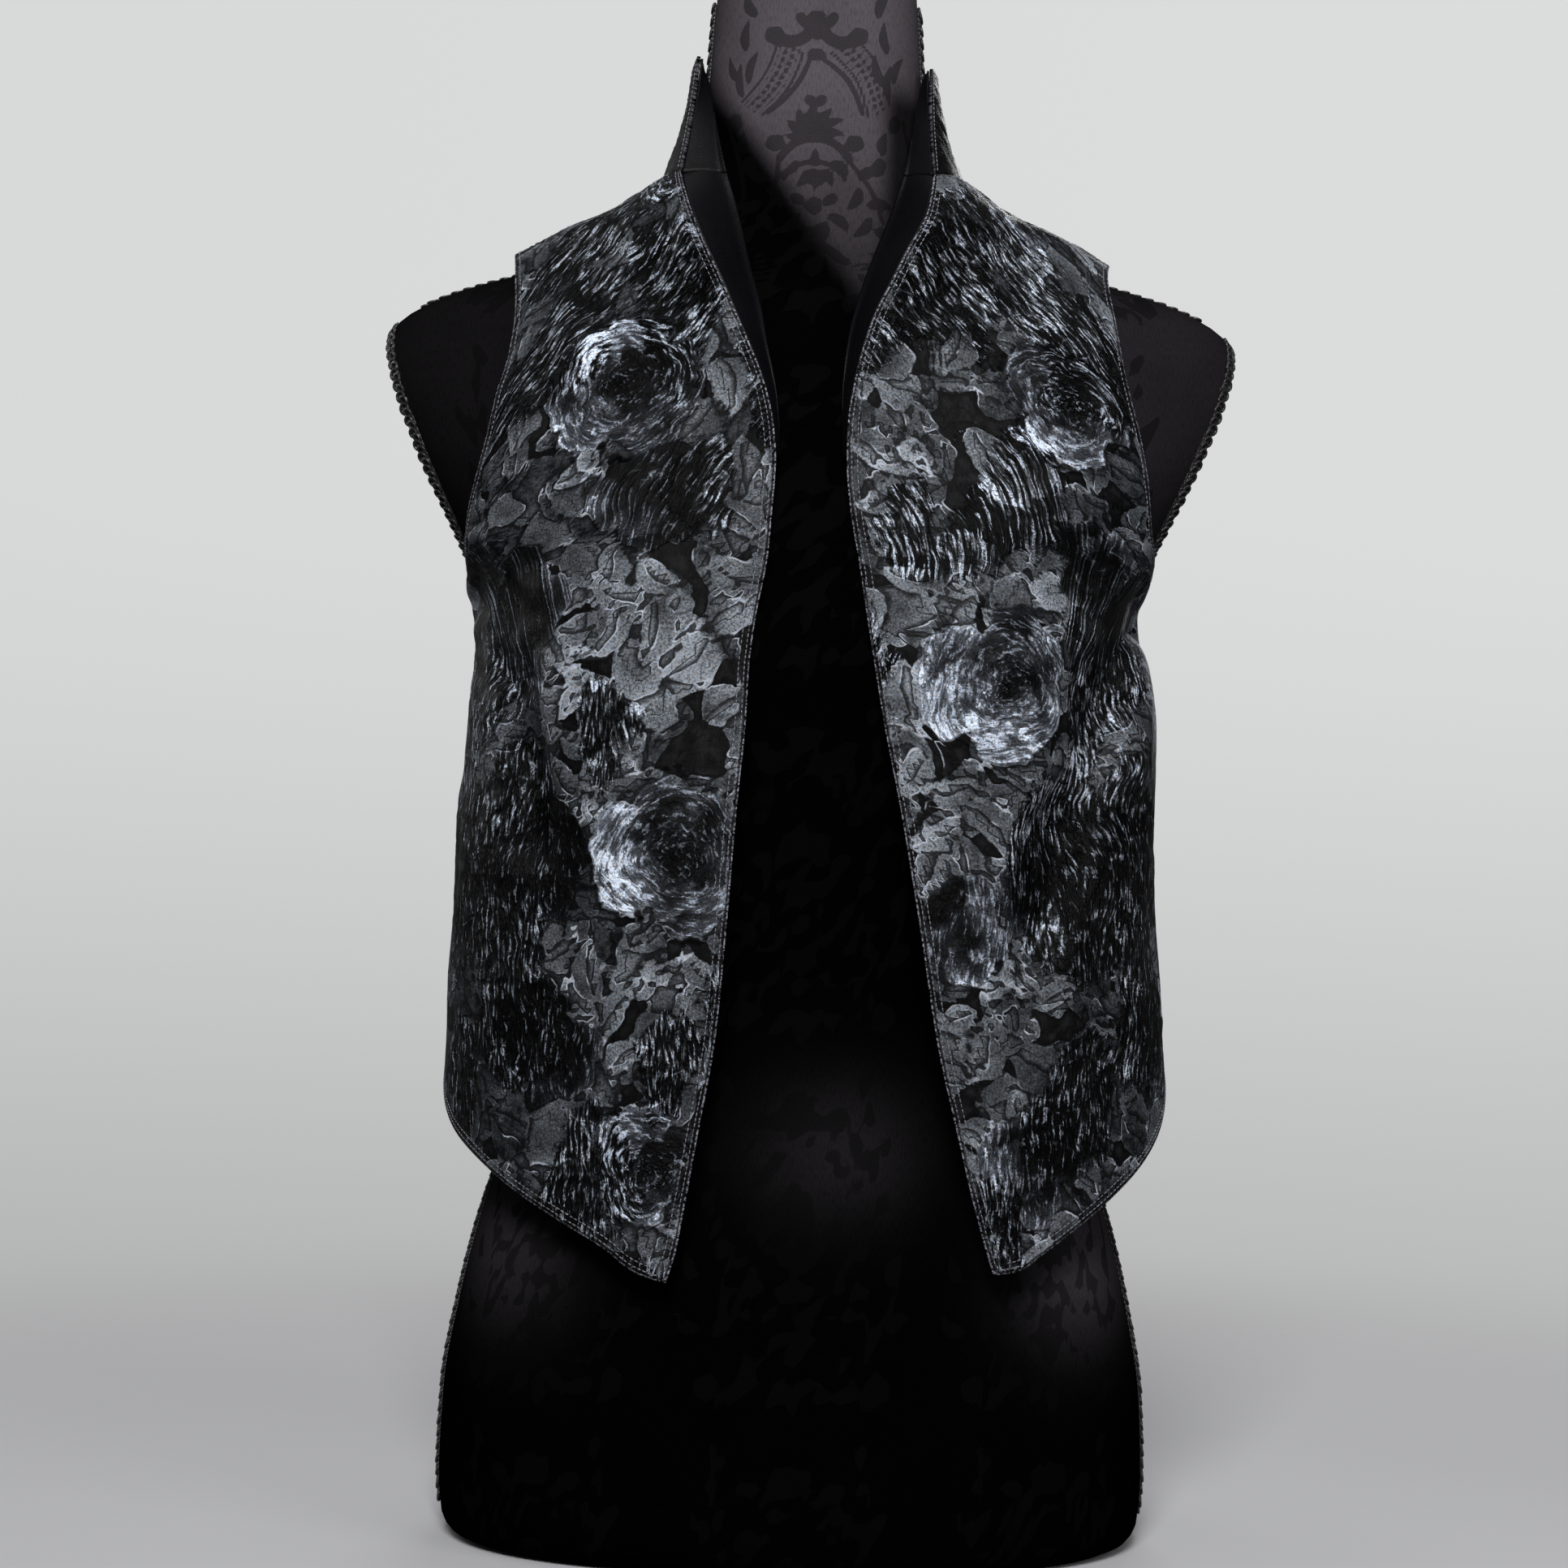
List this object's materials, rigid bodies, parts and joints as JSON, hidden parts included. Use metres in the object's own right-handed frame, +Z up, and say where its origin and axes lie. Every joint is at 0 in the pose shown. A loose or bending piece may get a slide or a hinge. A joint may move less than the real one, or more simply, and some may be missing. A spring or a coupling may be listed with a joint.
{
  "type": "waistcoat on dress form",
  "caption": "Open-front floral jacquard waistcoat with a tall stand collar and pointed front hems, shown on a limbless damask-covered dress form.",
  "frame": {"origin": "middle of the dress form's flat base, on the surface it stands on", "axes": "+Z up; the open front faces -Y; the viewer's left when facing the front is -X"},
  "size_m": [0.4132, 0.2398, 0.7592],
  "materials": {
    "jacquard": "woven floral jacquard with satin figures",
    "facing": "satin back of the jacquard",
    "gimp": "looped gimp braid",
    "form_cover": "damask sateen",
    "form_cap": "smooth cloth"
  },
  "bodies": {
    "root": {"back_centre": "jacquard", "back_side_left": "jacquard", "back_side_right": "jacquard", "collar": "jacquard", "collar_facing_left": "facing", "collar_facing_right": "facing", "form_body": "form_cover", "form_neck_cap": "form_cap", "front_facing_left": "facing", "front_facing_right": "facing", "front_left": "jacquard", "front_right": "jacquard", "gimp_armhole_left": "gimp", "gimp_armhole_right": "gimp", "gimp_shoulder_left": "gimp", "gimp_shoulder_right": "gimp", "gimp_side_left": "gimp", "gimp_side_right": "gimp"}
  },
  "joints": []
}
